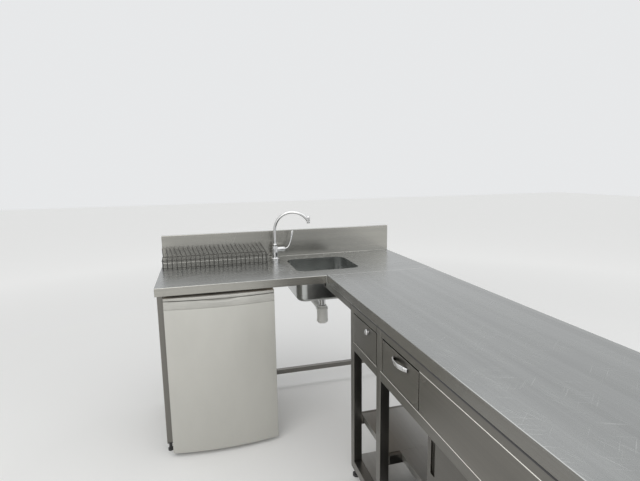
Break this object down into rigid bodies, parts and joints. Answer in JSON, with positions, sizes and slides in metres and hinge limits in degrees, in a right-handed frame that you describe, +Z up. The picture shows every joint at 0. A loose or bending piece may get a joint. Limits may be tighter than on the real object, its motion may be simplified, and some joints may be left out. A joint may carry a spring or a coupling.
{
  "type": "l-shaped galley counter of a food trailer",
  "caption": "L-shaped stainless-steel galley counter with an inset sink, tap, plate rack, built-under refrigerator, drawers, open shelves and sliding doors.",
  "frame": {"origin": "on the floor, under the middle of the counter's box", "axes": "+X along the back leg to the serving side, +Y along the serving leg to the back wall, +Z up"},
  "size_m": [1.473, 2.515, 1.2094],
  "materials": {
    "stainless": "brushed",
    "frame_steel": "brushed, darker",
    "plywood": "plain",
    "black_plastic": "matte",
    "white_plastic": "satin",
    "chrome": "polished",
    "wire": "drawn wire",
    "galvanised": "galvanised",
    "aluminium": "anodised",
    "fridge_paint": "satin",
    "fridge_plastic": "satin",
    "liner_plastic": "satin",
    "gasket_rubber": "matte",
    "shelf_glass": "clear",
    "crisper_plastic": "translucent",
    "black_metal": "semi-gloss"
  },
  "bodies": {
    "counter": {"worktop_back": "stainless", "worktop_serving": "stainless", "core_back": "plywood", "core_serving": "plywood", "battens": "plywood", "posts": "frame_steel", "feet": "black_plastic", "rails_x": "frame_steel", "rails_y": "frame_steel", "sink_bowl": "stainless", "sink_waste": "chrome", "sink_trap": "white_plastic", "tap_body": "chrome", "tap_lever": "chrome", "rack_ribs": "wire", "rack_pins": "wire", "rack_ties": "wire", "cradle_plates": "galvanised", "channels": "galvanised", "panels_fixed": "stainless", "shelf_a": "stainless", "shelf_b": "stainless", "deck": "stainless", "track_low": "aluminium", "track_high": "aluminium", "panel_back": "stainless", "panel_end": "stainless", "fridge_cabinet": "fridge_paint", "fridge_liner": "liner_plastic", "fridge_lid": "fridge_plastic", "fridge_shelves": "shelf_glass", "fridge_crisper": "crisper_plastic", "fridge_hinges": "galvanised", "fridge_feet": "black_plastic", "fridge_fixings": "galvanised", "fridge_compressor": "black_metal", "fridge_condenser": "black_metal"},
    "drawer_a": {"drawer_a_front": "stainless", "drawer_a_box": "stainless", "drawer_a_sliders": "galvanised", "drawer_a_knob": "chrome"},
    "drawer_b": {"drawer_b_front": "stainless", "drawer_b_box": "stainless", "drawer_b_sliders": "galvanised", "drawer_b_handle": "chrome"},
    "sliding_door_far": {"door_far": "stainless"},
    "sliding_door_near": {"door_near": "stainless"},
    "refrigerator_door": {"fridge_door": "fridge_paint", "fridge_door_trim": "fridge_plastic", "fridge_door_lining": "liner_plastic", "fridge_door_bins": "liner_plastic", "fridge_gasket": "gasket_rubber"},
    "spout": {"tap_spout": "chrome"}
  },
  "joints": [
    {"name": "drawer_a_slide", "type": "slide", "parent": "counter", "child": "drawer_a", "axis": [-1, 0, 0], "range_m": [0, 0.4]},
    {"name": "drawer_b_slide", "type": "slide", "parent": "counter", "child": "drawer_b", "axis": [-1, 0, 0], "range_m": [0, 0.4]},
    {"name": "door_far_slide", "type": "slide", "parent": "counter", "child": "sliding_door_far", "axis": [0, 1, 0], "range_m": [-0.268, 0.284]},
    {"name": "door_near_slide", "type": "slide", "parent": "counter", "child": "sliding_door_near", "axis": [0, 1, 0], "range_m": [0, 0.552]},
    {"name": "refrigerator_door_swing", "type": "hinge", "parent": "counter", "child": "refrigerator_door", "pos_m": [-0.6895, 0.6645, 0.425], "axis": [0, 0, -1], "range_deg": [0, 95]},
    {"name": "spout_turn", "type": "hinge", "parent": "counter", "child": "spout", "pos_m": [-0.0595, 1.1625, 1], "axis": [0, 0, 1], "range_deg": [-110, 20]}
  ]
}
